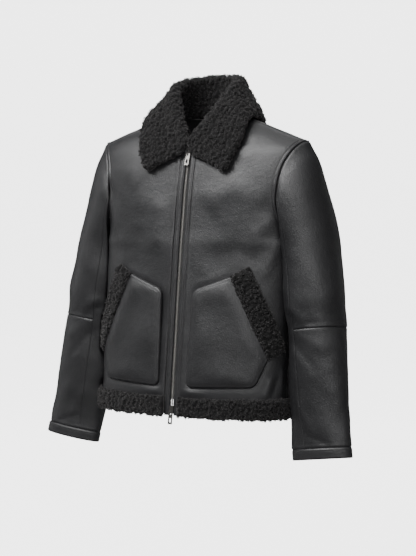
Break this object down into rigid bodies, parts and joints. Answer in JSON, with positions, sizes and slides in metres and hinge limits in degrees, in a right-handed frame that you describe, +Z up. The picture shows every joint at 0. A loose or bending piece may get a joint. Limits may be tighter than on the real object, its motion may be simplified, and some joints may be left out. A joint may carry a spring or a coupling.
{
  "type": "shearling jacket",
  "caption": "Hip-length leather jacket filled out as worn, with a fold-over shearling collar, full two-way front zip, slanted patch pockets and fur-trimmed hem.",
  "frame": {"origin": "on the centre line between the shoulder points, at the height of the sides of the neck, where the wearer's shoulders carry the jacket", "axes": "+Z up, -Y the way the jacket faces, +X the wearer's left"},
  "size_m": [0.712, 0.272, 0.7649],
  "materials": {
    "leather": "smooth charcoal-black nappa leather with a soft satin sheen and fine grain",
    "fur": "black curly shearling, matt, in small tight locks",
    "zip_metal": "satin nickel, a little darker on the teeth",
    "zip_tape": "black woven tape"
  },
  "bodies": {
    "jacket": {"front_left": "leather", "front_right": "leather", "back": "leather", "zip_strip_left": "leather", "zip_strip_right": "leather", "pocket_left": "leather", "pocket_right": "leather", "sleeve_upper_left": "leather", "sleeve_forearm_left": "leather", "sleeve_under_left": "leather", "cuff_left": "leather", "sleeve_upper_right": "leather", "sleeve_forearm_right": "leather", "sleeve_under_right": "leather", "cuff_right": "leather", "collar": "fur", "pocket_trim_left": "fur", "pocket_trim_right": "fur", "hem_trim_front_left": "fur", "hem_trim_front_right": "fur", "hem_trim_back": "fur", "zip_chain": "zip_metal", "slider_top": "zip_metal", "slider_bottom": "zip_metal", "zip_tape_left": "zip_tape", "zip_tape_right": "zip_tape"},
    "pull_top": {"pull_top": "zip_metal"},
    "pull_bottom": {"pull_bottom": "zip_metal"}
  },
  "joints": [
    {"name": "pull_top_hinge", "type": "hinge", "parent": "jacket", "child": "pull_top", "pos_m": [0, -0.06483, -0.07816], "axis": [-1, 0, 0], "range_deg": [0, 95]},
    {"name": "pull_bottom_hinge", "type": "hinge", "parent": "jacket", "child": "pull_bottom", "pos_m": [0, -0.13355, -0.5899], "axis": [-1, 0, 0], "range_deg": [0, 140]}
  ]
}
